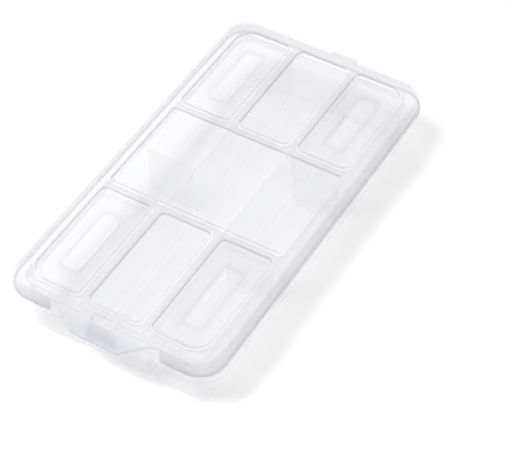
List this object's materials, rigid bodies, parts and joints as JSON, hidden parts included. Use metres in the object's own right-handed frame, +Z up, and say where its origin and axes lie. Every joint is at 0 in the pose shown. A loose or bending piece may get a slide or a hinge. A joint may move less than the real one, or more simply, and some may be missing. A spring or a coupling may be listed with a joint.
{
  "type": "bobbin box",
  "caption": "Flat translucent plastic box with divided compartments for sewing machine bobbins and a lift-off lid with a front pull tab.",
  "frame": {"origin": "centre of the whole box's footprint, on the surface that the tray stands on", "axes": "+Z up, +Y along the length towards the back, +X across the width; the pull tab is at the front, -Y"},
  "size_m": [0.1054, 0.1968, 0.0336],
  "materials": {
    "tray_plastic": "translucent natural polypropylene, satin",
    "lid_plastic": "translucent natural polypropylene, satin"
  },
  "bodies": {
    "tray": {"base_tray": "tray_plastic"},
    "lid": {"lid": "lid_plastic"}
  },
  "joints": [
    {"name": "lid_lift", "type": "slide", "parent": "tray", "child": "lid", "axis": [0, 0, 1], "range_m": [0, 0.06]}
  ]
}
